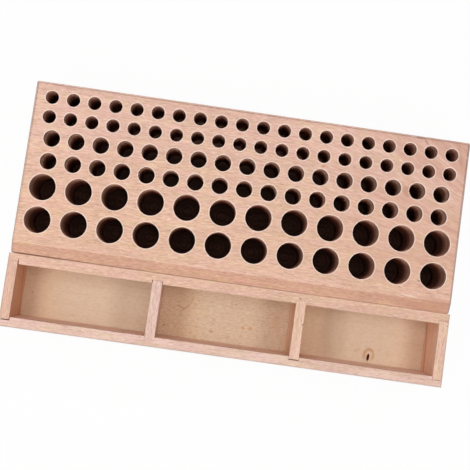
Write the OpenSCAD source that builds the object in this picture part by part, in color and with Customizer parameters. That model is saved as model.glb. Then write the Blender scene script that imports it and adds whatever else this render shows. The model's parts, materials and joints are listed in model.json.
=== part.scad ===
// Wooden tool holder: a beech block drilled with six rows of holes and closed by
// a board underneath, and a tray of three compartments that pushes onto two
// dowels in the block's front face.
// Millimetres. +X runs along the rows, -Y is the front and +Z is up. The
// origin lies on the table, under the middle of the whole.

/* [Block] */
// Length of the block along the rows of holes
block_w = 268; // [180:1:400]
// Thickness of the board glued under the block, which closes the holes
base_t = 5; // [3:0.5:15]
// Wood between the back face and the first row of holes
back_web = 5; // [3:0.5:15]
// Wood between the last row of holes and the bevel
front_web = 7; // [4:0.5:20]
// Least wood between the last hole of a row and the end of the block
end_web = 4.5; // [3:0.5:15]
// Depth of the bevel along the top front edge, front to back
bevel_run = 6.5; // [2:0.5:12]
// Height of that bevel
bevel_drop = 3; // [1:0.5:8]
// Radius of the upright corners
corner_r = 1; // [0.5:0.5:6]

/* [Holes] */
// Diameter of the small holes, in the two rows at the back
small_hole_d = 8; // [5:0.5:12]
// Diameter of the middle holes, in the two rows between
middle_hole_d = 10; // [6:0.5:14]
// Diameter of the large holes, in the two rows at the front
large_hole_d = 16; // [10:0.5:24]
// Depth of every hole, which is the thickness of the drilled block
hole_depth = 40; // [20:1:60]
// Wood between neighbours in a row of small holes
small_web = 5; // [2:0.5:10]
// Wood between neighbours in a row of middle holes
middle_web = 5; // [2:0.5:10]
// Wood between neighbours in a row of large holes
large_web = 6; // [2:0.5:12]
// Wood between one row and the next
row_web = 4; // [2:0.5:10]
// Wood between the middle rows and the large rows
step_web = 3; // [2:0.5:10]

/* [Tray] */
// Clear depth of the compartments, front to back
tray_clear_d = 32; // [20:1:80]
// Thickness of the rails and the side walls
tray_wall = 6; // [4:0.5:12]
// How far the tray stands out past each end of the block
tray_overhang = 1; // [0:0.5:5]
// Open joint between the block and the tray
tray_gap = 0.5; // [0.1:0.1:1]
// Thickness of the two dividers
divider_t = 6; // [3:0.5:12]
// Depth of the rabbets, housings and grooves cut into the rails and walls
housing_depth = 2; // [1:0.5:3]
// Side clearance of a divider in its housings
housing_fit = 0.05; // [0.02:0.01:0.2]
// Thickness of the plywood floor
floor_t = 3; // [2:0.5:6]
// Height of the floor's underside above the table
floor_lift = 5; // [2:0.5:12]
// Clearance round the floor in its grooves
floor_fit = 0.15; // [0.05:0.05:0.5]

/* [Dowels] */
// Diameter of the two dowels
dowel_d = 6; // [4:0.5:10]
// Distance from each end of the block to its dowel
dowel_inset = 40; // [15:1:80]
// Radial room for glue round a dowel in the block
glue_fit = 0.05; // [0.02:0.01:0.2]
// Wood left between a dowel's inner end and the large holes
dowel_back_web = 3.5; // [2:0.5:6]
// Wood left between a dowel's outer end and the compartments
dowel_front_web = 2; // [1:0.5:3]
// Radial clearance of a dowel in the tray, so that the tray pulls off
dowel_fit = 0.08; // [0.03:0.01:0.1]
// Clearance past the outer end of a dowel
dowel_end_fit = 0.4; // [0.2:0.1:1]

/* [Hidden] */
$fn = 96;
// Overshoot of every cut past the face that it opens
cut = 1;

// Rows of holes from the back to the front
row_d = [small_hole_d, small_hole_d, middle_hole_d, middle_hole_d, large_hole_d, large_hole_d];
hole_web = [small_web, small_web, middle_web, middle_web, large_web, large_web];
row_gap = [back_web, row_web, row_web, row_web, step_web, row_web];
last_row = len(row_d) - 1;

// Distance of a row's centre line from the back face
function row_from_back(i) =
    i == 0 ? row_gap[0] + row_d[0] / 2
           : row_from_back(i - 1) + row_d[i - 1] / 2 + row_gap[i] + row_d[i] / 2;

// Number of holes that fit in a row, and the place of each along it
function row_pitch(i) = row_d[i] + hole_web[i];
function row_count(i) = floor((block_w - 2 * end_web - row_d[i]) / row_pitch(i)) + 1;
function hole_x(i, k) = (k - (row_count(i) - 1) / 2) * row_pitch(i);

// The block, with its back face at back_y
block_h = base_t + hole_depth;
block_d = row_from_back(last_row) + row_d[last_row] / 2 + front_web + bevel_run;

// The tray, as high as the bevel's lower edge
tray_w = block_w + 2 * tray_overhang;
tray_d = tray_clear_d + 2 * tray_wall;
tray_h = block_h - bevel_drop;
tray_clear_w = tray_w - 2 * tray_wall;
compartment_w = (tray_clear_w - 2 * divider_t) / 3;
divider_x = (compartment_w + divider_t) / 2;
floor_top = floor_lift + floor_t;

// Places from the front to the back
total_d = block_d + tray_gap + tray_d;
back_y = total_d / 2;
block_front_y = back_y - block_d;
tray_back_y = block_front_y - tray_gap;
tray_front_y = tray_back_y - tray_d;
tray_mid_y = (tray_back_y + tray_front_y) / 2;

// The dowels, half way up the tray
dowel_x = block_w / 2 - dowel_inset;
dowel_z = tray_h / 2;
dowel_socket = front_web + bevel_run - dowel_back_web;
dowel_pocket = tray_wall - dowel_front_web;
dowel_len = dowel_socket + tray_gap + dowel_pocket - dowel_end_fit;

// The block's outline seen from above, a rectangle with round corners
module block_plan() {
    translate([0, back_y - block_d / 2]) {
        square([block_w - 2 * corner_r, block_d], center = true);
        square([block_w, block_d - 2 * corner_r], center = true);
        for (x = [-1, 1], y = [-1, 1]) {
            translate([x * (block_w / 2 - corner_r), y * (block_d / 2 - corner_r)]) circle(r = corner_r);
        }
    }
}

// The wedge that planes the bevel off the block's top front edge
module bevel_cut() {
    low = [block_front_y - bevel_run, block_h - 2 * bevel_drop];
    high = [block_front_y + 2 * bevel_run, block_h + bevel_drop];
    rotate([90, 0, 90]) {
        linear_extrude(block_w + 2 * cut, center = true) {
            polygon([low, high, [low[0], high[1]]]);
        }
    }
}

// One cylinder at each dowel, running to the front from a given face
module dowel_pair(d, from_y, length) {
    for (x = [-1, 1]) {
        translate([x * dowel_x, from_y, dowel_z]) {
            rotate([90, 0, 0]) cylinder(d = d, h = length);
        }
    }
}

// The block, one piece of solid beech drilled right through
module holder_block() {
    color([0.87, 0.70, 0.57]) difference() {
        translate([0, 0, base_t]) linear_extrude(hole_depth) block_plan();
        bevel_cut();
        for (i = [0 : last_row], k = [0 : row_count(i) - 1]) {
            translate([hole_x(i, k), back_y - row_from_back(i), base_t - cut]) {
                cylinder(d = row_d[i], h = hole_depth + 2 * cut);
            }
        }
        dowel_pair(dowel_d + 2 * glue_fit, block_front_y + dowel_socket, dowel_socket + cut);
    }
}

// The board glued under the block, flush with it all round, on which the tools stand
module block_base() {
    color([0.84, 0.66, 0.53]) linear_extrude(base_t) block_plan();
}

// Two beech dowels, glued into the block, that the tray pushes onto
module tray_dowels() {
    color([0.80, 0.62, 0.46]) dowel_pair(dowel_d, block_front_y + dowel_socket, dowel_len);
}

// A rail lying along X with its outer face at y = 0 and its inner face towards +Y. The rabbets at
// its ends take the side walls, the two housings the dividers, and the groove the floor's edge.
module rail() {
    bottom_y = tray_wall - housing_depth;
    difference() {
        translate([-tray_w / 2, 0, 0]) cube([tray_w, tray_wall, tray_h]);
        for (x = [-1, 1]) {
            translate([x * tray_w / 2, bottom_y, -cut]) {
                translate([-tray_wall, 0, 0]) cube([2 * tray_wall, tray_wall, tray_h + 2 * cut]);
            }
            translate([x * divider_x - divider_t / 2 - housing_fit, bottom_y, floor_top]) {
                cube([divider_t + 2 * housing_fit, tray_wall, tray_h]);
            }
        }
        translate([-tray_w / 2, bottom_y, floor_lift]) cube([tray_w, tray_wall, floor_t + floor_fit]);
    }
}

module tray_front_rail() {
    color([0.89, 0.73, 0.61]) translate([0, tray_front_y, 0]) rail();
}

// The back rail is a front rail turned round, with a pocket for each dowel
module tray_back_rail() {
    color([0.89, 0.73, 0.61]) difference() {
        translate([0, tray_back_y, 0]) mirror([0, 1, 0]) rail();
        dowel_pair(dowel_d + 2 * dowel_fit, tray_back_y + cut, dowel_pocket + cut);
    }
}

// A side wall with its outer face at x = 0 and its grooved inner face towards +X
module side_wall() {
    wall_d = tray_clear_d + 2 * housing_depth;
    difference() {
        translate([0, tray_mid_y - wall_d / 2, 0]) cube([tray_wall, wall_d, tray_h]);
        translate([tray_wall - housing_depth, tray_mid_y - tray_d / 2, floor_lift]) {
            cube([tray_wall, tray_d, floor_t + floor_fit]);
        }
    }
}

module tray_left_wall() {
    color([0.86, 0.68, 0.55]) translate([-tray_w / 2, 0, 0]) side_wall();
}

module tray_right_wall() {
    color([0.86, 0.68, 0.55]) translate([tray_w / 2, 0, 0]) mirror([1, 0, 0]) side_wall();
}

// A divider stands on the floor with its ends in the rails' housings
module divider(x) {
    divider_d = tray_clear_d + 2 * (housing_depth - housing_fit);
    translate([x - divider_t / 2, tray_mid_y - divider_d / 2, floor_top]) {
        cube([divider_t, divider_d, tray_h - floor_top]);
    }
}

module tray_left_divider() {
    color([0.85, 0.68, 0.56]) divider(-divider_x);
}

module tray_right_divider() {
    color([0.85, 0.68, 0.56]) divider(divider_x);
}

// The plywood floor, held all round in the grooves
module tray_floor() {
    floor_w = tray_clear_w + 2 * (housing_depth - floor_fit);
    floor_d = tray_clear_d + 2 * (housing_depth - floor_fit);
    color([0.82, 0.70, 0.58]) {
        translate([-floor_w / 2, tray_mid_y - floor_d / 2, floor_lift]) cube([floor_w, floor_d, floor_t]);
    }
}

holder_block();
block_base();
tray_dowels();
tray_back_rail();
tray_front_rail();
tray_left_wall();
tray_right_wall();
tray_left_divider();
tray_right_divider();
tray_floor();
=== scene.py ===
import json
import math

import bmesh
import bpy
import numpy as np
from mathutils.geometry import delaunay_2d_cdt
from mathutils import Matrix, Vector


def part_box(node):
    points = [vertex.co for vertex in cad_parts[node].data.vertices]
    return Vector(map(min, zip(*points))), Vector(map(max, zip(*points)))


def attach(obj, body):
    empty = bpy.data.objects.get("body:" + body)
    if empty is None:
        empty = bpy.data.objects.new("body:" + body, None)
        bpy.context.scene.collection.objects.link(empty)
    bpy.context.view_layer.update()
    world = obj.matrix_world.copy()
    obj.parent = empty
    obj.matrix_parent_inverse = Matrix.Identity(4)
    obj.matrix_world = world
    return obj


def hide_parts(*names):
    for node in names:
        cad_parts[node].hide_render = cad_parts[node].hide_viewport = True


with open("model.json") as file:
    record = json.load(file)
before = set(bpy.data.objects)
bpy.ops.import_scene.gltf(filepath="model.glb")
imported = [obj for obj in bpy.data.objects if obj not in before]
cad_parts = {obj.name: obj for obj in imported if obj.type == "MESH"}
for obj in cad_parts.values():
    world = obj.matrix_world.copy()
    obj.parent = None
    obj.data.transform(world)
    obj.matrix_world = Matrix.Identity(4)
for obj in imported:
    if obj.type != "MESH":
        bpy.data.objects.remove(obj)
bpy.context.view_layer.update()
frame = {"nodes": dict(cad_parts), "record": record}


# Drilled block: one length of planed beech with six rows of holes bored right through it. Its top front
# edge is planed to a shallow bevel, its outside edges are sanded round and carry painted shade, and each
# hole's mouth is broken and carries a painted highlight.
block_low, block_high = (np.array(corner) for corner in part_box("holder_block"))
bevel_run, bevel_drop = 0.0065, 0.003
bevel_start, bevel_foot = block_low[1] + bevel_run, block_high[2] - bevel_drop
crease_half, crease_points = 0.0002, 3
corner_radius, corner_points = 0.001, 7
edge_round, edge_band = 0.0006, 0.0006    # the rounding, and the band of the top beside it, which carry painted shade
front_ease = 0.25                         # share of that rounding on the front edge, which meets the tray
seam_round = 0.0002                       # broken edge along the glue line with the base board
shade_down_edge = np.array([0, 0.7, 1, 1, 0.7, 0, 0, 0])
back_shade = 0.1                          # the back edge's share of the painted shade on the two ends
mouth_round, mouth_band = 0.0003, 0.0006  # the rounding, and the band of the top beside it, which carry a painted highlight
bores = [m for m in frame["record"]["mounts"] if m["kind"] == "bore"]
bore_radius = np.array([m["dims"]["r_mm"] for m in bores]) / 1000
bore_centre = np.array([m["pos_m"][:2] for m in bores])
large_from = 0.007                     # radius from which a hole is large
small_segments, large_segments = 32, 48
chatter_depth = np.array([2.5, 5.5, 9.0, 12.0, 16.0, 20.0, 25.0, 31.0]) / 1000
chatter_half, chatter_cut = 0.0004, 0.00015
chord_share = 0.995                       # of a circle's radius, inside which a filled triangle is a hole's
merge_within, plan_within = 1e-6, 1e-9     # points closer than this are one, in a mesh and in a plan


def top_height(y):
    """Height of the block's top at depth y: level as far as the bevel, then falling at its slope, with a
    parabola over the short crease between the two."""
    past = bevel_start - y
    blend = np.clip(past + crease_half, 0, 2 * crease_half)
    fall = blend ** 2 / (4 * crease_half) + np.maximum(past - crease_half, 0)
    return block_high[2] - bevel_drop / bevel_run * fall


def block_outline(inset):
    """Points round the block's plan, anticlockwise: a quarter circle about each corner's centre, its radius
    less the inset, and three points on each end face where the bevel's crease runs out. The front face
    takes only a share of the inset, so the two front quarters are elliptical."""
    quarter = np.linspace(0, np.pi / 2, corner_points)
    reach, front_reach = corner_radius - inset, corner_radius - front_ease * inset
    left, right = block_low[0] + corner_radius, block_high[0] - corner_radius
    front, back = block_low[1] + corner_radius, block_high[1] - corner_radius
    crease = bevel_start + crease_half * np.linspace(-1, 1, crease_points)

    def corner(x, y, turn, deep):
        return np.stack([x + reach * np.cos(quarter + turn), y + deep * np.sin(quarter + turn)], -1)

    def end_face(x, y):
        return np.stack([np.full(crease_points, x), y], -1)

    return np.concatenate([
        corner(right, front, -np.pi / 2, front_reach), end_face(block_high[0] - inset, crease),
        corner(right, back, 0, reach), corner(left, back, np.pi / 2, reach),
        end_face(block_low[0] + inset, crease[::-1]), corner(left, front, np.pi, front_reach)])


def ring_faces(rings, around):
    """Quads between each ring of a grid and the next, closed round the ring."""
    ring, step = np.meshgrid(np.arange(rings - 1), np.arange(around), indexing="ij")
    here, below, after = ring * around, (ring + 1) * around, (step + 1) % around
    return np.stack([here + step, here + after, below + after, below + step], -1).reshape(-1, 4)


def pierced_plan(outline, circles, centres, radii, creases=()):
    """Triangles that fill a convex outline less its circles: a Delaunay triangulation that keeps every given
    edge, without the triangles whose middle lies in a circle. Returns plan points and triangles."""
    loops = [outline, *circles]
    start = np.cumsum([0] + [len(loop) for loop in loops])
    edges = [np.stack([s + np.arange(len(c)), s + np.roll(np.arange(len(c)), -1)], -1)
             for s, c in zip(start, loops)]
    edges = np.concatenate([*edges, np.array(creases, int).reshape(-1, 2)])
    plan, _, faces, *_ = delaunay_2d_cdt(np.concatenate(loops).tolist(), edges.tolist(), [], 0, plan_within)
    plan, faces = np.array(plan), np.array(faces)
    middle = plan[faces].mean(1)
    apart = np.linalg.norm(middle[:, None] - centres[None], axis=-1)
    return plan, faces[(apart > radii * chord_share).all(1)]


def joined_mesh(name, patches, mark):
    """One closed mesh from patches that share their edges. A patch is (points, faces, material index,
    smooth, values of the marked attribute), and points that all but coincide become one."""
    start = np.cumsum([0] + [len(p[0]) for p in patches])
    points = np.concatenate([p[0] for p in patches])
    faces = [f for s, p in zip(start, patches) for f in (p[1] + s).tolist()]
    counts = [len(p[1]) for p in patches]
    indices = np.repeat([p[2] for p in patches], counts).astype(np.int32)
    mesh = bpy.data.meshes.new(name)
    mesh.from_pydata(points.tolist(), [], faces)
    mesh.polygons.foreach_set("material_index", indices)
    mesh.polygons.foreach_set("use_smooth", np.repeat([p[3] for p in patches], counts))
    values = np.concatenate([np.broadcast_to(p[4], len(p[0])) for p in patches]).astype(np.float32)
    mesh.attributes.new(mark, "FLOAT", "POINT").data.foreach_set("value", values)
    shell = bmesh.new()
    shell.from_mesh(mesh)
    bmesh.ops.remove_doubles(shell, verts=shell.verts, dist=merge_within)
    bmesh.ops.recalc_face_normals(shell, faces=shell.faces)
    shell.to_mesh(mesh)
    shell.free()
    return mesh


def placed(name, mesh, body, slot, *nodes):
    """An object for the mesh that rides on the body and stands for the CAD nodes. The slot is not used."""
    piece = bpy.data.objects.new(name, mesh)
    bpy.context.scene.collection.objects.link(piece)
    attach(piece, body)
    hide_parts(*nodes)
    return piece


# the rounded edge is a quarter circle carried round the outline, with painted shade on it, most along the two
# ends
turn = np.radians([0, 30, 60, 90])
edge_inset = np.concatenate([[edge_round + edge_band], edge_round * (1 - np.sin(turn)), [0, 0, seam_round]])
edge_fall = np.concatenate([[0], edge_round * (1 - np.cos(turn)), [2 * edge_round]])
outlines = np.stack([block_outline(inset) for inset in edge_inset])
around = outlines.shape[1]
foot = np.repeat([[block_low[2] + seam_round], [block_low[2]]], around, 1)
heights = np.concatenate([top_height(outlines[:-2, :, 1]) - edge_fall[:, None], foot])
sides = np.concatenate([outlines, heights[..., None]], -1)
innermost, outermost = outlines[0], outlines[-2]
facing_end = np.abs(outermost[:, 0] - innermost[:, 0]) / edge_inset[0]
edge_shade = np.where(innermost[:, 1] > 0, back_shade + (1 - back_shade) * facing_end, facing_end)
patches = [(sides.reshape(-1, 3), ring_faces(*heights.shape), 0, True,
            -(shade_down_edge[:, None] * edge_shade).ravel())]

# each hole is its profile turned about its axis; the large cutter leaves chatter grooves down the wall
mouths, feet = [], []
mouth = np.radians([0, 45, 90])
lip_rings = len(mouth)
for wall_index, radius in enumerate(np.unique(bore_radius), start=1):
    centres = bore_centre[bore_radius == radius]
    large = radius > large_from
    segments = large_segments if large else small_segments
    groove = chatter_depth[:, None] + chatter_half * np.array([-1.0, 0.0, 1.0])
    wall_depth = groove.ravel() if large else np.zeros(0)
    wall_wide = np.tile([0, chatter_cut, 0], len(chatter_depth)) if large else np.zeros(0)
    lip_depth, lip_wide = mouth_round * (1 - np.cos(mouth)), mouth_round * (1 - np.sin(mouth))
    depth = np.concatenate([[0], lip_depth, wall_depth, [block_high[2] - block_low[2]]])
    wide = np.concatenate([[mouth_round + mouth_band], lip_wide, wall_wide, [0]])
    angle = np.linspace(0, 2 * np.pi, segments, endpoint=False)
    circle = np.stack([np.cos(angle), np.sin(angle)], -1)
    plan = centres[:, None, None] + (radius + wide)[None, :, None, None] * circle
    level = np.broadcast_to((block_high[2] - depth)[None, :, None, None], plan.shape[:-1] + (1,))
    holes = np.concatenate([plan, level], -1)
    mouths += list(plan[:, 0])
    feet += list(plan[:, -1])
    quads = ring_faces(len(depth), segments).reshape(len(depth) - 1, segments, 4)
    shift = (np.arange(len(centres)) * len(depth) * segments)[:, None, None]
    lip, wall = (part.reshape(1, -1, 4) + shift for part in (quads[:lip_rings], quads[lip_rings:]))
    # pale marks the lip of each mouth for its painted highlight
    pale = np.concatenate([[0, 1, 1], np.zeros(len(depth) - 3)])
    pale = np.broadcast_to(pale[None, :, None], holes.shape[:-1]).ravel()
    patches += [(holes.reshape(-1, 3), lip.reshape(-1, 4), 0, True, pale),
                (holes.reshape(-1, 3), wall.reshape(-1, 4), wall_index, True, pale)]

# the level top and the bevel, and the face glued to the base board, fill what lies between
order = np.argsort(bore_radius, kind="stable")
hole_centre, hole_radius = bore_centre[order], bore_radius[order]
right_crease = corner_points + np.arange(crease_points)
left_crease = (3 * corner_points + crease_points + np.arange(crease_points))[::-1]
top, faces = pierced_plan(innermost, mouths, hole_centre, hole_radius + mouth_round + mouth_band,
                          np.stack([right_crease, left_crease], -1))
patches.append((np.column_stack([top, top_height(top[:, 1])]), faces, 0, False, 0))
under, faces = pierced_plan(outlines[-1], feet, hole_centre, hole_radius)
patches.append((np.column_stack([under, np.full(len(under), block_low[2])]), faces, 0, False, 0))
block_mesh = joined_mesh("drilled_block", patches, "highlight_and_shade")
block = placed("drilled_block", block_mesh, "holder", "block_beech", "holder_block")


def add(tree, kind, out=0, settings=(), **inputs):
    """A new node with its settings and inputs: a socket is linked, anything else is its value. Inputs are
    named by their label, or by in_ and their number. Returns the node's output of that number."""
    node = tree.nodes.new(kind)
    for name, value in dict(settings).items():
        setattr(node, name, value)
    for name, value in inputs.items():
        label = int(name[3:]) if name.startswith("in_") else name.replace("_", " ")
        if isinstance(value, bpy.types.NodeSocket):
            tree.links.new(value, node.inputs[label])
        else:
            node.inputs[label].default_value = value
    return node.outputs[out]


def maths(tree, operation, first, second=0.0):
    """One sum on two values."""
    return add(tree, "ShaderNodeMath", 0, {"operation": operation}, in_0=first, in_1=second)


def product(tree, first, *others):
    """All the values multiplied together."""
    for other in others:
        first = maths(tree, "MULTIPLY", first, other)
    return first


def colour_mix(tree, share, first, second, blend="MIX"):
    """The first colour turned into the second by share."""
    settings = {"data_type": "RGBA", "blend_type": blend}
    return add(tree, "ShaderNodeMix", 2, settings, in_0=share, in_6=first, in_7=second)


def spread(tree, value, low, high, to_low=0.0, to_high=1.0):
    """value carried smoothly from low..high to to_low..to_high, and held at the ends."""
    ends = {"in_1": low, "in_2": high, "in_3": to_low, "in_4": to_high}
    return add(tree, "ShaderNodeMapRange", 0, {"interpolation_type": "SMOOTHSTEP"}, in_0=value, **ends)


def grain_noise(tree, place, fine, detail=2.0, rough=0.5):
    """Noise with that many features to the metre along each axis."""
    stretched = add(tree, "ShaderNodeMapping", Vector=place, Scale=fine)
    return add(tree, "ShaderNodeTexNoise", 0, Vector=stretched, Scale=1.0, Detail=detail, Roughness=rough)


def along(tree, place, axis):
    """One coordinate of a place, 0 for X to 2 for Z."""
    return add(tree, "ShaderNodeSeparateXYZ", axis, Vector=place)


def marked(tree, name):
    """The value of a mesh's own attribute."""
    return add(tree, "ShaderNodeAttribute", 2, {"attribute_name": name})


def new_finish(name):
    """An empty material, its tree and its Principled shader, and the piece's own coordinates."""
    finish = bpy.data.materials.new(name)
    finish.use_nodes = True
    tree = finish.node_tree
    place = add(tree, "ShaderNodeTexCoord", 3)
    return finish, tree, tree.nodes["Principled BSDF"], place


def coat(tree, shader, colour, roughness, specular, bump=None):
    """Puts a colour, a roughness and a bump on the shader, with one specular level all over."""
    tree.links.new(colour, shader.inputs["Base Color"])
    tree.links.new(roughness, shader.inputs["Roughness"])
    if bump is not None:
        tree.links.new(bump, shader.inputs["Normal"])
    shader.inputs["Specular IOR Level"].default_value = specular


def spot(tree, place, centre, half, turned=0.0):
    """1 in an ellipse of the plan about a centre, with those half axes, and falling to 0 round it."""
    reach = add(tree, "ShaderNodeMapping", 0, {"vector_type": "TEXTURE"}, Vector=place,
                Location=(*centre, 0), Rotation=(0, 0, turned), Scale=(*half, 1))
    reach = add(tree, "ShaderNodeVectorMath", 1, {"operation": "LENGTH"}, Vector=reach)
    return spread(tree, reach, 0.55, 1.25, 1, 0)


def beech(name, pale, rose, turned=0.0, shifted=(0.0, 0.0, 0.0), leaning=0.0, strength=1.0):
    """Sanded beech with its grain along X, or turned by that angle: broad pale and rose bands, a blush of
    pink and straw, fine streaks, and the short dark and pale flecks of its rays, with pores in the bump. The
    grain wanders a little, and leaning bends it towards the front as the square of the way past the middle,
    most at the back. Returns the material, its tree and shader, the piece's own coordinates, the grain's
    and the colour."""
    pink, straw = (1.0, 0.93, 0.98, 1), (0.985, 1.01, 0.86, 1)
    cloud_brown, streak_brown = (0.62, 0.385, 0.28, 1), (0.56, 0.325, 0.23, 1)
    dark_ray, pale_ray = (0.42, 0.23, 0.16, 1), (0.95, 0.76, 0.64, 1)
    lean_from, wander_by = 0.02, 0.004
    finish, tree, shader, own = new_finish(name)
    grain = add(tree, "ShaderNodeMapping", Vector=own, Rotation=(0, 0, turned), Location=shifted)
    past = maths(tree, "MAXIMUM", maths(tree, "SUBTRACT", along(tree, grain, 0), lean_from))
    bent = product(tree, past, past, leaning, spread(tree, along(tree, grain, 1), -0.02, 0.06, 0.5, 3))
    wander = product(tree, grain_noise(tree, grain, (16, 45, 45), 1.0), wander_by)
    bent = maths(tree, "ADD", maths(tree, "ADD", along(tree, grain, 1), bent), wander)
    grain = add(tree, "ShaderNodeCombineXYZ", X=along(tree, grain, 0), Y=bent, Z=along(tree, grain, 2))
    band = spread(tree, grain_noise(tree, grain, (7, 40, 40), 3.0), 0.35, 0.65)
    cloud = spread(tree, grain_noise(tree, grain, (32, 170, 170), 3.0), 0.3, 0.7)
    blush = spread(tree, grain_noise(tree, grain, (60, 230, 230), 5.0, 0.7), 0.36, 0.7)
    streak = grain_noise(tree, grain, (65, 1200, 1200), 3.0, 0.6)
    fleck = grain_noise(tree, grain, (310, 2100, 2100), 2.0, 0.65)
    pore = grain_noise(tree, grain, (900, 7000, 7000), 1.0)
    colour = colour_mix(tree, band, pale, rose)
    colour = colour_mix(tree, 1.0, colour, colour_mix(tree, blush, pink, straw), "MULTIPLY")
    colour = colour_mix(tree, spread(tree, cloud, 0, 1, 0, 0.38), colour, cloud_brown)
    colour = colour_mix(tree, spread(tree, streak, 0.46, 0.74, 0, 0.6 * strength), colour, streak_brown)
    colour = colour_mix(tree, spread(tree, fleck, 0.5, 0.74, 0, 0.6 * strength), colour, dark_ray)
    colour = colour_mix(tree, spread(tree, fleck, 0.48, 0.26, 0, 0.55 * strength), colour, pale_ray)
    relief = maths(tree, "ADD", streak, pore)
    bump = add(tree, "ShaderNodeBump", Strength=0.25, Distance=0.00012, Height=relief)
    coat(tree, shader, colour, spread(tree, streak, 0.3, 0.7, 0.52, 0.66), 0.3, bump)
    return finish, tree, shader, own, grain, colour


# the right end is redder heartwood whose grain leans, and the back is pinker than the front and a little
# brighter, as painted light
top_pale, top_rose, heart_red = (0.81, 0.53, 0.405, 1), (0.79, 0.505, 0.38, 1), (0.60, 0.315, 0.235, 1)
front_tint, back_tint = (1.0, 0.995, 0.965, 1), (1.02, 1.025, 1.085, 1)
block_finish, tree, shader, own, grain, colour = beech("block_beech_top", top_pale, top_rose, leaning=1.1)
own_x, own_y, own_z = (along(tree, own, axis) for axis in range(3))
tint = colour_mix(tree, spread(tree, own_y, -0.01, 0.075), front_tint, back_tint)
colour = colour_mix(tree, 1.0, colour, tint, "MULTIPLY")
heart = spread(tree, grain_noise(tree, grain, (14, 170, 170), 4.0, 0.65), 0.4, 0.64, 0.1, 1)
heart = product(tree, spread(tree, own_x, 0.03, 0.135), heart, 0.7)
colour = colour_mix(tree, heart, colour, heart_red)
# stains on the top and the bevel: centre, half axes, turn, share and colour
upper = spread(tree, own_z, bevel_foot - 0.0015, bevel_foot - 0.0005)
scratch_brown, rubbed = (0.32, 0.18, 0.14, 1), (0.93, 0.70, 0.60, 1)
for centre, half, turned, share, stain in (
        ((0.0992, 0.0400), (0.0042, 0.0032), -0.6, 0.6, (0.46, 0.20, 0.12, 1)),
        ((0.1028, 0.0739), (0.0032, 0.0008), 0.02, 0.55, (0.36, 0.22, 0.18, 1)),
        ((0.1069, 0.0722), (0.0024, 0.0007), -0.9, 0.6, (0.40, 0.21, 0.16, 1)),
        ((0.1285, 0.0660), (0.0016, 0.0075), 0.25, 0.35, (0.46, 0.25, 0.18, 1)),
        ((0.0459, 0.0481), (0.0011, 0.0009), 0.0, 0.8, (0.62, 0.27, 0.10, 1)),
        ((0.1129, -0.0129), (0.0017, 0.0004), -0.3, 0.75, (0.20, 0.10, 0.08, 1)),
        ((0.1210, -0.0195), (0.0026, 0.0003), -0.06, 0.45, scratch_brown),
        ((0.1221, -0.0209), (0.0024, 0.0003), -0.1, 0.4, scratch_brown),
        ((0.1076, -0.0227), (0.0056, 0.0006), -0.1, 0.6, rubbed),
        ((0.1160, -0.0276), (0.0225, 0.0022), -0.03, 0.45, (0.60, 0.33, 0.20, 1))):
    stained = product(tree, spot(tree, own, centre, half, turned), upper, share)
    colour = colour_mix(tree, stained, colour, stain)
# the bevel is darker and warmer than the top, and its foot, where it meets the tray, is painted dark as the
# shade of that joint, most at the left
bevel_tone, joint_shade = (0.91, 0.815, 0.785, 1), (0.24, 0.10, 0.05, 1)
planed = product(tree, maths(tree, "LESS_THAN", own_y, bevel_start),
                 maths(tree, "GREATER_THAN", own_z, bevel_foot - edge_round))
colour = colour_mix(tree, planed, colour, bevel_tone, "MULTIPLY")
joint_shaded = product(tree, spread(tree, own_y, block_low[1] + 0.0009, block_low[1] + 0.0004),
                  spread(tree, own_x, -0.125, -0.07, 0.95, 0.1), upper)
colour = colour_mix(tree, joint_shaded, colour, joint_shade)
# hole mouths carry a painted highlight, and the outside edges carry painted shade, more to the right
mouth_highlight, edge_shade_grey = (0.97, 0.80, 0.70, 1), (0.36, 0.28, 0.25, 1)
highlight_and_shade = marked(tree, "highlight_and_shade")
colour = colour_mix(tree, spread(tree, highlight_and_shade, 0, 1, 0, 0.7), colour, mouth_highlight)
edge_shaded = product(tree, spread(tree, highlight_and_shade, 0, -1), spread(tree, own_x, -0.1, 0.1, 0.6, 0.95))
colour = colour_mix(tree, edge_shaded, colour, edge_shade_grey)
tree.links.new(colour, shader.inputs["Base Color"])
block.data.materials.append(block_finish)


def bored_wall(name, mouth, deep, reach, end_share=0.68, axis=2, start=block_high[2]):
    """A hole's wood coloured with painted light and shade: the mouth's colour, which turns into the deep one
    over that reach from the start down the axis, with rings of a darker burn. Where it faces along X it keeps
    only a share of it, partly the end grain's own darker tone and partly painted shade."""
    burn = (0.10, 0.05, 0.035, 1)
    finish, tree, shader, place = new_finish(name)
    below = spread(tree, along(tree, place, axis), start, start - reach)
    rings = spread(tree, grain_noise(tree, place, (30, 30, 420), 2.0), 0.45, 0.65)
    colour = colour_mix(tree, below, mouth, deep)
    colour = colour_mix(tree, spread(tree, rings, 0, 1, 0, 0.3), colour, burn)
    facing = add(tree, "ShaderNodeTexCoord", 1)
    end_grain_and_shade = spread(tree, maths(tree, "ABSOLUTE", along(tree, facing, 0)), 0.35, 0.95)
    end_tint_and_shade = (end_share, 0.96 * end_share, 0.93 * end_share, 1)
    colour = colour_mix(tree, end_grain_and_shade, colour, end_tint_and_shade, "MULTIPLY")
    bump = add(tree, "ShaderNodeBump", Strength=0.4, Distance=0.0002, Height=rings)
    coat(tree, shader, colour, spread(tree, rings, 0, 1, 0.6, 0.8), 0.08, bump)
    return finish


# one finish for each size of hole, from the smallest, in the order of the walls' material indices; the small
# and middle walls are painted darker at the mouth and lighter deep down, and the large ones lighter at the
# mouth, as painted light and shade
for wall_finish in (
        bored_wall("drilled_wall", (0.54, 0.28, 0.205, 1), (0.84, 0.53, 0.41, 1), 0.016),
        bored_wall("middle_wall", (0.42, 0.23, 0.17, 1), (1.0, 0.67, 0.52, 1), 0.010, 0.65),
        bored_wall("large_wall", (1.0, 0.56, 0.41, 1), (0.60, 0.29, 0.20, 1), 0.020, 0.4)):
    block.data.materials.append(wall_finish)


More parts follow.
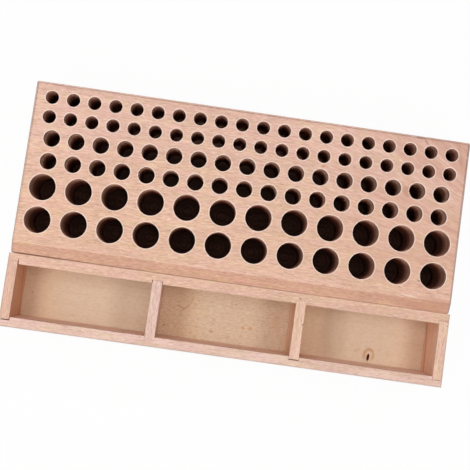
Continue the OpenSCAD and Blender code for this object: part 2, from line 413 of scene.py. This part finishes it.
# Base board: a thin beech board glued under the block and planed flush with it, which closes the holes.
# Its upper face shows only at the bottom of the holes, where the large cutter has swept rings into it.
base_low, base_high = (np.array(corner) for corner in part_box("block_base"))
base_inset = np.concatenate([[seam_round, 0], edge_round * (1 - np.sin(turn[::-1]))])
base_level = np.concatenate([[base_high[2], base_high[2] - seam_round],
                             base_low[2] + edge_round * (1 - np.cos(turn[::-1]))])
base_rings = np.stack([np.column_stack([block_outline(inset), np.full(around, level)])
                       for inset, level in zip(base_inset, base_level)])
# a large hole's bottom is a fan of triangles from its axis to its rim
swept_centre = bore_centre[bore_radius > large_from]
swept_radius = bore_radius.max()
sweep = np.linspace(0, 2 * np.pi, large_segments, endpoint=False)
swept_rim = swept_centre[:, None] + swept_radius * np.stack([np.cos(sweep), np.sin(sweep)], -1)
board, faces = pierced_plan(base_rings[0, :, :2], list(swept_rim), swept_centre,
                            np.full(len(swept_centre), swept_radius))
swept = np.concatenate([swept_rim, swept_centre[:, None]], 1)
step = np.arange(large_segments)
fan = np.stack([step, (step + 1) % large_segments, np.full(large_segments, large_segments)], -1)
fan = fan + (large_segments + 1) * np.arange(len(swept))[:, None, None]
base_patches = [
    (base_rings.reshape(-1, 3), ring_faces(*base_rings.shape[:2]), 0, True, 1),
    (np.column_stack([board, np.full(len(board), base_high[2])]), faces, 2, False, 1),
    (np.column_stack([swept.reshape(-1, 2), np.full(swept.size // 2, base_high[2])]), fan.reshape(-1, 3), 1,
     False, np.tile(np.append(np.ones(large_segments), 0), len(swept))),
    (base_rings[-1], np.arange(around)[None], 0, False, 1)]
base_mesh = joined_mesh("base_board", base_patches, "from_axis")
base = placed("base_board", base_mesh, "holder", "block_beech", "block_base")
base_finish = beech("base_beech", (0.77, 0.50, 0.37, 1), (0.74, 0.46, 0.34, 1), shifted=(0.7, 0.31, 0.2))[0]
base.data.materials.append(base_finish)
# the swept bottoms are painted dark, as the shade at the foot of the large holes, with darker uneven rings
# about each axis
bottom_shade_brown, bottom_shade_black = (0.125, 0.058, 0.04, 1), (0.075, 0.035, 0.025, 1)
ring_black = (0.045, 0.021, 0.016, 1)
swept_finish, tree, shader, place = new_finish("swept_bottom")
wobble = product(tree, grain_noise(tree, place, (110, 110, 110), 2.0), 0.35)
rings = add(tree, "ShaderNodeTexNoise", 0, {"noise_dimensions": "1D"},
            W=maths(tree, "ADD", marked(tree, "from_axis"), wobble), Scale=8.0, Detail=2.0)
bottom_shade = spread(tree, grain_noise(tree, place, (90, 400, 400), 3.0), 0.35, 0.7)
bottom_shade = colour_mix(tree, bottom_shade, bottom_shade_brown, bottom_shade_black)
bottom_shade = colour_mix(tree, spread(tree, rings, 0.42, 0.6, 0, 0.6), bottom_shade, ring_black)
coat(tree, shader, bottom_shade, spread(tree, rings, 0.4, 0.6, 0.7, 0.85), 0.05)
base.data.materials.append(swept_finish)
# under the small holes the board is bare wood, and under the middle ones it is painted dark, as the shade at
# the foot of those holes
bare, middle_bottom_shade, bare_row, bottom_shade_within = (0.80, 0.48, 0.36, 1), (0.17, 0.09, 0.065, 1), 0.054, 0.012
base.data.materials.append(bored_wall("drilled_bottom", bare, middle_bottom_shade, bottom_shade_within, axis=1, start=bare_row))


# Dowels: two short lengths of turned beech glued into the block's front face, which the tray pushes onto.
# They stay as the CAD made them and show only when the tray is pulled off.
dowels = frame["nodes"]["tray_dowels"]
dowels.data.materials.clear()
dowels.data.materials.append(beech("dowel_beech", (0.74, 0.50, 0.36, 1), (0.70, 0.45, 0.31, 1),
                                   turned=math.pi / 2, shifted=(0.2, 0.5, 0.1))[0])


# Tray frame: two beech rails along the front and back, two side walls let into rabbets in their ends, and
# two dividers in housings, all glued. Each strip's edges are lightly sanded, so the joints show as fine
# lines, and a few of them stand open by a fraction of a millimetre.
strip_round, strip_segments = 0.0002, 2
flat_within, bevelled_past = math.radians(1), math.radians(40)
tray_low, tray_high = np.array(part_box("tray_front_rail")[0]), np.array(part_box("tray_back_rail")[1])
wall_low, wall_high = np.array(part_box("tray_left_wall")), np.array(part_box("tray_right_wall"))
room_x = wall_high[0, 0]                               # inner face of the right wall
room_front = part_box("tray_front_rail")[1][1]           # inner faces of the two rails
room_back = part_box("tray_back_rail")[0][1]
room_slack, corner_within = 1e-4, 1e-5


def eased_strip(name, node, finish, opened=()):
    """A copy of a CAD strip, merged, with its triangles joined into flat faces and its edges rounded by
    Bevel. An opened joint (axis, place, other axis, low, high, by) shifts the corners at that place on the
    axis that lie from low to high on the other one."""
    mesh = frame["nodes"][node].data.copy()
    mesh.name = name
    strip = bmesh.new()
    strip.from_mesh(mesh)
    bmesh.ops.remove_doubles(strip, verts=strip.verts, dist=merge_within)
    bmesh.ops.dissolve_limit(strip, angle_limit=flat_within, verts=strip.verts, edges=strip.edges)
    strip.to_mesh(mesh)
    strip.free()
    corner = np.empty(3 * len(mesh.vertices))
    mesh.vertices.foreach_get("co", corner)
    corner = corner.reshape(-1, 3)
    for axis, place, other, low, high, by in opened:
        between = (corner[:, other] > low) & (corner[:, other] < high)
        corner[between & (np.abs(corner[:, axis] - place) < corner_within), axis] += by
    mesh.vertices.foreach_set("co", corner.ravel())
    mesh.materials.clear()
    mesh.materials.append(finish)
    piece = placed(name, mesh, "tray", "tray_beech", node)
    bevel = piece.modifiers.new("eased", "BEVEL")
    bevel.width, bevel.segments, bevel.limit_method = strip_round, strip_segments, "ANGLE"
    bevel.angle_limit, bevel.harden_normals = bevelled_past, False
    return piece


def strip_beech(name, pale, rose, turned, shifted, inside, foot=None, strength=1.0, vein=None, marks=()):
    """Beech for a strip of the tray, with painted shade along the tray's outer top edges. Inside the
    compartments it is multiplied by a colour of painted light and shade, which may turn into another at the
    foot, and a dark vein may run along a wall, given by its height in the middle and its slope. A mark on
    the top is an ellipse's centre, half axes and turn."""
    tray_edge_shade_grey, mark_brown, vein_brown = (0.40, 0.30, 0.26, 1), (0.24, 0.12, 0.08, 1), (0.36, 0.17, 0.10, 1)
    foot_from, foot_full = 0.036, 0.012
    finish, tree, shader, own, _, colour = beech(name, pale, rose, turned, shifted, strength=strength)
    own_x, own_y, own_z = (along(tree, own, axis) for axis in range(3))
    beyond = maths(tree, "ABSOLUTE", own_x)
    # painted shade along the tray's outer top edges
    ends = spread(tree, beyond, tray_high[0] - 0.0011, tray_high[0] - 0.0002)
    front = spread(tree, own_y, tray_low[1] + 0.0011, tray_low[1] + 0.0002)
    high = spread(tree, own_z, tray_high[2] - 0.0012, tray_high[2] - 0.0004)
    tray_edge_shade = product(tree, maths(tree, "MAXIMUM", ends, front), high, 0.5)
    colour = colour_mix(tree, tray_edge_shade, colour, tray_edge_shade_grey)
    for centre, half, angle in marks:
        colour = colour_mix(tree, product(tree, spot(tree, own, centre, half, angle), high, 0.75), colour,
                            mark_brown)
    # the compartment faces are multiplied by painted light and shade
    within = product(tree, maths(tree, "LESS_THAN", beyond, room_x + room_slack),
                     maths(tree, "GREATER_THAN", own_y, room_front - room_slack),
                     maths(tree, "LESS_THAN", own_y, room_back + room_slack),
                     spread(tree, own_z, tray_high[2] - 0.0001, tray_high[2] - 0.0008))
    if foot:
        inside = colour_mix(tree, spread(tree, own_z, foot_from, foot_full), inside, foot)
    colour = colour_mix(tree, within, colour, inside, "MULTIPLY")
    if vein:
        height, slope = vein
        middle = maths(tree, "SUBTRACT", own_y, (room_front + room_back) / 2)
        height = maths(tree, "ADD", product(tree, middle, slope), height)
        off = maths(tree, "ABSOLUTE", maths(tree, "SUBTRACT", own_z, height))
        vein_share = product(tree, within, spread(tree, off, 0.0004, 0.0022, 0.55, 0))
        colour = colour_mix(tree, vein_share, colour, vein_brown)
    tree.links.new(colour, shader.inputs["Base Color"])
    return finish


across = math.pi / 2
notch_slack, notch_deep, housing_fit = 0.0002, 0.0022, 0.00005
back_notch = room_back - notch_slack, room_back + notch_deep
front_notch = room_front - notch_deep, room_front + notch_slack
left_housing = np.array(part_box("tray_left_divider"))[:, 0] + housing_fit * np.array([-1, 1])
left_tip, right_tip = (-0.14, -0.13), (0.13, 0.14)     # the two ends of the back rail
everywhere = (-1, 1)
# the inside colours, and the right divider's foot, are painted light and shade on the compartment faces
eased_strip(
    "front_rail", "tray_front_rail",
    strip_beech("front_rail_beech", (0.83, 0.605, 0.535, 1), (0.81, 0.575, 0.495, 1), 0.0, (0.3, 0.2, 0.1),
                inside=(1.08, 1.07, 1.04, 1)),
    [(0, -room_x, 1, *front_notch, 0.0004), (0, room_x, 1, *front_notch, -0.00012)])
eased_strip(
    "back_rail", "tray_back_rail",
    strip_beech("back_rail_beech", (0.78, 0.51, 0.385, 1), (0.755, 0.48, 0.36, 1), 0.0, (0.9, 0.6, 0.3),
                inside=(0.9, 0.85, 0.8, 1),
                marks=[((0.0432, -0.0338), (0.0009, 0.0004), -0.2),
                       ((0.1017, -0.0369), (0.0014, 0.0004), 0.0),
                       ((-0.1287, -0.0343), (0.0003, 0.0010), 0.0)]),
    [(0, -room_x, 1, *back_notch, 0.0006), (0, room_x, 1, *back_notch, -0.0001),
     (0, left_housing[0], 1, *back_notch, -0.0003), (0, left_housing[1], 1, *back_notch, 0.0003),
     (1, tray_high[1], 0, *left_tip, 0.0003), (1, tray_high[1], 0, *right_tip, 0.00047)])
eased_strip(
    "left_wall", "tray_left_wall",
    strip_beech("left_wall_beech", (0.745, 0.475, 0.365, 1), (0.715, 0.44, 0.33, 1), across, (0.1, 0.4, 0.5),
                inside=(0.92, 0.75, 0.60, 1), vein=(0.0155, 0.28)),
    [(1, wall_low[0, 1], 0, *everywhere, 0.0005)])
eased_strip(
    "right_wall", "tray_right_wall",
    strip_beech("right_wall_beech", (0.82, 0.555, 0.44, 1), (0.795, 0.52, 0.405, 1), across, (0.6, 0.1, 0.8),
                inside=(1.15, 1.11, 1.04, 1), vein=(0.0145, -0.16),
                marks=[((0.1343, -0.0352), (0.0005, 0.0008), 0.0),
                       ((0.1340, -0.0378), (0.0004, 0.0005), 0.0)]),
    [(1, wall_low[0, 1], 0, *everywhere, 0.0001), (1, wall_low[1, 1], 0, *everywhere, -0.0001)])
eased_strip(
    "left_divider", "tray_left_divider",
    strip_beech("left_divider_beech", (0.80, 0.575, 0.515, 1), (0.76, 0.53, 0.465, 1), across,
                (0.4, 0.8, 0.2), inside=(0.95, 0.93, 0.9, 1), strength=1.2))
eased_strip(
    "right_divider", "tray_right_divider",
    strip_beech("right_divider_beech", (0.87, 0.60, 0.465, 1), (0.85, 0.57, 0.44, 1), across, (0.2, 0.3, 0.6),
                inside=(0.84, 0.73, 0.62, 1), foot=(1.1, 1.08, 0.97, 1),
                marks=[((0.0467, -0.0493), (0.0009, 0.0005), -0.7)]),
    [(1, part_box("tray_right_divider")[0][1], 0, *everywhere, 0.0004)])


# Tray floor: a panel of thin plywood let into grooves all round, with a pale straw face veneer. One small
# knot has dropped out of it near the front on the right and left an open slit.
panel_low, panel_high = (np.array(corner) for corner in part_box("tray_floor"))
knot, knot_half, knot_lean = np.array([0.0946, -0.0652]), np.array([0.0009, 0.0023]), 0.05
knot_shrink, knot_depth = np.array([1.0, 0.93, 0.75, 0.45]), np.array([0.0, 0.00015, 0.0008, 0.0012])
knot_segments = 24
round_knot = np.linspace(0, 2 * np.pi, knot_segments, endpoint=False)
slit = np.stack([np.cos(round_knot), np.sin(round_knot)], -1)
veneer_edge = np.array([[panel_low[0], panel_low[1]], [panel_high[0], panel_low[1]],
                        [panel_high[0], panel_high[1]], [panel_low[0], panel_high[1]]])
# the plan is triangulated with the slit drawn as a unit circle, and then carried back to its size and leaned
plan, faces = pierced_plan((veneer_edge - knot) / knot_half, [slit], np.zeros((1, 2)), np.ones(1))
near = np.linalg.norm(plan, axis=1) < 2                # only the slit's own points lean
veneer_top = knot + plan * knot_half
veneer_top[near, 0] += knot_lean * plan[near, 1] * knot_half[1]
# the pit is the slit's ellipse, shrunk ring by ring as it goes down
pit_plan = knot + knot_shrink[:, None, None] * slit * knot_half
pit_plan[..., 0] += knot_lean * knot_shrink[:, None] * slit[None, :, 1] * knot_half[1]
pit_level = np.repeat((panel_high[2] - knot_depth)[:, None], knot_segments, 1)
pit = np.concatenate([pit_plan, pit_level[..., None]], -1)
panel_side = np.stack([np.column_stack([veneer_edge, np.full(4, z)]) for z in (panel_high[2], panel_low[2])])
panel_patches = [
    (np.column_stack([veneer_top, np.full(len(veneer_top), panel_high[2])]), faces, 0, False, 0),
    (pit.reshape(-1, 3), ring_faces(*pit.shape[:2]), 1, True, np.repeat(knot_depth > 0, knot_segments)),
    (pit[-1], np.arange(knot_segments)[None], 1, False, 1),
    (panel_side.reshape(-1, 3), ring_faces(2, 4), 0, False, 0),
    (panel_side[1], np.arange(4)[None], 0, False, 0)]
panel_mesh = joined_mesh("floor_panel", panel_patches, "knot")
panel = placed("floor_panel", panel_mesh, "tray", "floor_plywood", "tray_floor")

veneer_finish, tree, shader, place = new_finish("floor_veneer")
place_x, place_y = along(tree, place, 0), along(tree, place, 1)
veneer_pale, veneer_deep = (0.80, 0.635, 0.475, 1), (0.76, 0.585, 0.425, 1)
cloud = spread(tree, grain_noise(tree, place, (16, 45, 45), 3.0), 0.3, 0.7)
veneer = colour_mix(tree, cloud, veneer_pale, veneer_deep)
# beside each wall's right face the veneer is painted darker and amber, as the shadow that wall casts, and at
# the right end it is painted lighter and rosier, as light
for wall_x, shadow_amber in ((-room_x, (0.96, 0.89, 0.82, 1)),
                      (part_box("tray_left_divider")[1][0], (0.97, 0.875, 0.775, 1)),
                      (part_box("tray_right_divider")[1][0], (1.0, 0.94, 0.87, 1))):
    wall_shadow = product(tree, spread(tree, place_x, wall_x + 0.012, wall_x + 0.036, 1, 0),
                     maths(tree, "GREATER_THAN", place_x, wall_x))
    veneer = colour_mix(tree, wall_shadow, veneer, shadow_amber, "MULTIPLY")
right_end_light = spread(tree, place_x, room_x - 0.026, room_x - 0.01)
veneer = colour_mix(tree, right_end_light, veneer, (1.06, 1.02, 1.0, 1), "MULTIPLY")
# fine lines along the grain, and short flecks, which are twice as strong in the middle compartment
line_brown, mottle_brown = (0.60, 0.40, 0.25, 1), (0.62, 0.42, 0.25, 1)
fleck_brown, fleck_cream = (0.55, 0.33, 0.15, 1), (0.93, 0.78, 0.61, 1)
line = grain_noise(tree, place, (40, 700, 700), 4.0, 0.6)
veneer = colour_mix(tree, spread(tree, line, 0.5, 0.8, 0, 0.4), veneer, line_brown)
fleck = grain_noise(tree, place, (380, 1250, 1250), 2.0, 0.65)
middle = spread(tree, maths(tree, "ABSOLUTE", place_x), 0.04, 0.05, 1.0, 0.5)
dark_fleck = product(tree, spread(tree, fleck, 0.52, 0.74, 0, 0.75), middle)
pale_fleck = product(tree, spread(tree, fleck, 0.48, 0.26, 0, 0.6), middle)
veneer = colour_mix(tree, dark_fleck, veneer, fleck_brown)
veneer = colour_mix(tree, pale_fleck, veneer, fleck_cream)
mottle = grain_noise(tree, place, (260, 420, 420), 3.0)
veneer = colour_mix(tree, spread(tree, mottle, 0.5, 0.75, 0, 0.25), veneer, mottle_brown)
# round the slit the wood is pale, and the grain that went about the knot stands over it as a brown arch
knot_tan, arch_brown = (0.82, 0.57, 0.36, 1), (0.47, 0.215, 0.065, 1)
pale_knot = spot(tree, place, knot + [0.0003, 0.0012], (0.0026, 0.0036))
arch = spot(tree, place, knot + [0.0, 0.0012], (0.0037, 0.0048))
arch = product(tree, maths(tree, "SUBTRACT", arch, pale_knot), spread(tree, mottle, 0.35, 0.6, 0.6, 1))
arch = product(tree, spread(tree, arch, 0.0, 0.5),
               spread(tree, place_y, knot[1] - 0.0024, knot[1] + 0.001, 0.2, 1), 0.6)
veneer = colour_mix(tree, product(tree, pale_knot, 0.45), veneer, knot_tan)
veneer = colour_mix(tree, arch, veneer, arch_brown)
# marks on the veneer, and one patch of painted shadow beside the right divider: centre, half axes, turn,
# share and colour
pin_knot, scratch, ochre = (0.30, 0.13, 0.05, 1), (0.50, 0.25, 0.08, 1), (0.70, 0.36, 0.13, 1)
shade, straw_patch = (0.45, 0.32, 0.21, 1), (0.84, 0.70, 0.42, 1)
for centre, half, turned, share, stain in (
        ((-0.1234, -0.0539), (0.0006, 0.0005), 0.0, 0.7, pin_knot),
        ((-0.0375, -0.0626), (0.0008, 0.0005), 0.0, 0.7, pin_knot),
        ((0.0063, -0.0439), (0.0007, 0.0005), 0.0, 0.6, pin_knot),
        ((-0.0248, -0.0495), (0.0052, 0.0005), 0.75, 0.55, scratch),
        ((-0.0280, -0.0503), (0.0034, 0.0005), -0.3, 0.5, scratch),
        ((-0.0222, -0.0450), (0.0026, 0.0004), 1.1, 0.4, scratch),
        ((-0.0073, -0.0628), (0.0016, 0.0012), 0.0, 0.45, scratch),
        ((0.0127, -0.0578), (0.0012, 0.0014), 0.0, 0.65, ochre),
        ((0.0174, -0.0576), (0.0014, 0.0011), 0.0, 0.6, ochre),
        ((0.0334, -0.0515), (0.0030, 0.0070), 0.0, 0.22, ochre),
        ((0.1010, -0.0525), (0.0022, 0.0012), 0.4, 0.25, ochre),
        ((0.0715, -0.0530), (0.0095, 0.0200), 0.0, 0.25, shade),
        ((0.0868, -0.0618), (0.0026, 0.0016), 0.5, 0.2, scratch),
        ((-0.0140, -0.0528), (0.0050, 0.0013), 0.5, 0.3, straw_patch)):
    veneer = colour_mix(tree, product(tree, spot(tree, place, centre, half, turned), share), veneer, stain)
bump = add(tree, "ShaderNodeBump", Strength=0.2, Distance=0.0001, Height=line)
coat(tree, shader, veneer, spread(tree, line, 0.3, 0.7, 0.55, 0.7), 0.3, bump)
panel.data.materials.append(veneer_finish)
# the slit itself is rough, dark and dull
rim_brown, bark_brown, bark_black = (0.45, 0.23, 0.11, 1), (0.13, 0.038, 0.011, 1), (0.10, 0.03, 0.009, 1)
slit_finish, tree, shader, place = new_finish("dropped_knot")
bark = grain_noise(tree, place, (900, 900, 900), 2.0)
brown = colour_mix(tree, spread(tree, bark, 0.35, 0.65), bark_brown, bark_black)
brown = colour_mix(tree, spread(tree, marked(tree, "knot"), 0.0, 0.6), rim_brown, brown)
bump = add(tree, "ShaderNodeBump", Strength=0.3, Distance=0.0001, Height=bark)
coat(tree, shader, brown, spread(tree, bark, 0.3, 0.7, 0.75, 0.9), 0.02, bump)
panel.data.materials.append(slit_finish)


# Studio: a white table under two long strip lamps to the left and right, the left one stronger, with a dim
# panel between them and a little light from all round.
table_half = 3.0
contact = 0.003                           # within this of the part the table is painted dark, as shade in the gaps
contact_shade_brown, table_white = (0.06, 0.025, 0.015, 1), (0.9, 0.9, 0.9, 1)
table_glow, ambient = 0.95, 0.09
corners = table_half * np.array([[-1, -1, 0], [1, -1, 0], [1, 1, 0], [-1, 1, 0]])
table_mesh = bpy.data.meshes.new("studio_table")
table_mesh.from_pydata(corners.tolist(), [], [[0, 1, 2, 3]])
table = bpy.data.objects.new("studio_table", table_mesh)
bpy.context.scene.collection.objects.link(table)


def seen_directly(tree):
    """1 for a ray from the camera or from a mirror-like or clear surface, 0 for one that carries light."""
    path = tree.nodes.new("ShaderNodeLightPath").outputs
    shown = maths(tree, "MAXIMUM", path["Is Camera Ray"], path["Is Glossy Ray"])
    return maths(tree, "MAXIMUM", shown, path["Is Transmission Ray"])


table_finish, tree, shader, _ = new_finish("studio_white")
shader.inputs["Roughness"].default_value = 0.9
glow = add(tree, "ShaderNodeEmission", Color=(1, 1, 1, 1), Strength=1.0)
open_sky = add(tree, "ShaderNodeAmbientOcclusion", 1, {"samples": 8}, Distance=contact)
open_sky = spread(tree, open_sky, 0.2, 0.45)
tree.links.new(colour_mix(tree, open_sky, contact_shade_brown, table_white), shader.inputs["Base Color"])
glow_share = product(tree, seen_directly(tree), table_glow, open_sky)
mixed = add(tree, "ShaderNodeMixShader", in_0=glow_share, in_1=shader.outputs[0], in_2=glow)
tree.links.new(mixed, tree.nodes["Material Output"].inputs["Surface"])
table.data.materials.append(table_finish)

world = bpy.data.worlds.new("studio")
bpy.context.scene.world = world
world.use_nodes = True
tree = world.node_tree
background = tree.nodes["Background"]
tree.links.new(spread(tree, seen_directly(tree), 0, 1, ambient, 1), background.inputs["Strength"])
background.inputs["Color"].default_value = (1, 1, 1, 1)


def panel_lamp(name, place, wide, long, watts):
    """A flat lamp that faces straight down and doesn't show in the picture."""
    data = bpy.data.lights.new(name, "AREA")
    data.shape, data.size, data.size_y, data.energy = "RECTANGLE", wide, long, watts
    lamp = bpy.data.objects.new(name, data)
    lamp.location, lamp.visible_camera = place, False
    bpy.context.scene.collection.objects.link(lamp)


strip_aside, strip_forward, strip_up = 0.275, -0.16, 0.48
strip_wide, strip_long = 0.15, 1.15
panel_lamp("left_strip", (-strip_aside, strip_forward, strip_up), strip_wide, strip_long, watts=2.52)
panel_lamp("right_strip", (strip_aside, strip_forward, strip_up), strip_wide, strip_long, watts=2.05)
panel_lamp("middle_panel", (0.0, 0.02, 0.70), wide=0.4, long=0.26, watts=0.83)


# Camera: high above the tray's back rail and turned a little, with its lens shifted as the photograph was
# cropped.
eye = (-0.01714, -0.02571, 0.62394)
facing = (0.0786, -0.0324, 0.1406)
camera_data = bpy.data.cameras.new("camera")
camera_data.sensor_width, camera_data.lens, camera_data.shift_y = 36.0, 73.27, -0.0826
camera_data.clip_start, camera_data.clip_end = 0.01, 20.0
camera = bpy.data.objects.new("camera", camera_data)
camera.location, camera.rotation_euler = eye, facing
bpy.context.scene.collection.objects.link(camera)
bpy.context.scene.camera = camera
bpy.context.scene.view_settings.view_transform = "Standard"
